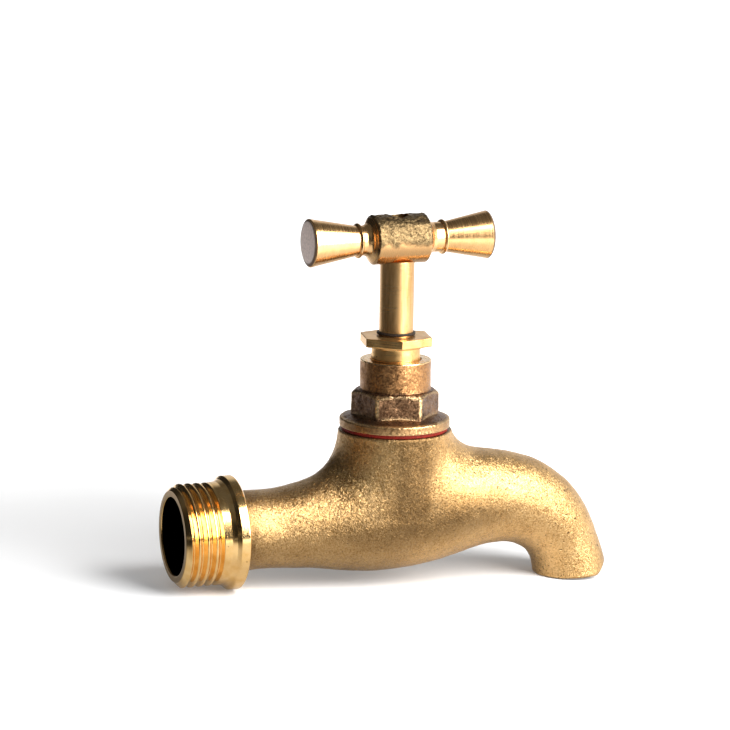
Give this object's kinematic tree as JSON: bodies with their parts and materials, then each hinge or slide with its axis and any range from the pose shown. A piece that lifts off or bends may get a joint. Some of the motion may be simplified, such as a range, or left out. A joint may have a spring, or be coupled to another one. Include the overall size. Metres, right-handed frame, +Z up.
{
  "type": "bibcock",
  "caption": "Brass bibcock with a threaded inlet, a cast body with a down-turned spout, and a T handle on a rising spindle that lifts a screw-down valve.",
  "frame": {"origin": "on the inlet's axis, at the front face of the collar, where the thread ends", "axes": "+X from the inlet to the spout, +Z up along the valve's axis, +Y to the tap's left"},
  "size_m": [0.0945, 0.023, 0.077],
  "materials": {
    "cast_brass": "sand-cast, matte",
    "forged_brass": "rough, darkened",
    "machined_brass": "machined, bright",
    "turned_brass": "turned, satin",
    "red_fibre": "matte",
    "packing": "matte",
    "black_rubber": "matte",
    "valve_rubber": "matte"
  },
  "bodies": {
    "tap": {"body": "cast_brass", "bonnet_washer": "red_fibre", "bonnet": "forged_brass", "packing_ring_lower": "packing", "packing_ring_upper": "packing", "packing_washer": "machined_brass", "gland_nut": "machined_brass"},
    "valve": {"jumper": "turned_brass", "tap_washer": "valve_rubber", "washer_nut": "machined_brass"},
    "spindle": {"spindle": "turned_brass", "dust_ring": "black_rubber", "handle": "turned_brass"}
  },
  "joints": [
    {"name": "valve_lift", "type": "slide", "parent": "tap", "child": "valve", "axis": [0, 0, 1], "range_m": [0, 0.004]},
    {"name": "handle_turn", "type": "hinge", "parent": "valve", "child": "spindle", "pos_m": [0.0372, 0, 0], "axis": [0, 0, 1], "range_deg": [0, 720]}
  ],
  "couplings": [
    {"joint": "handle_turn", "follows": "valve_lift", "rad_per_m": 3141.6}
  ]
}
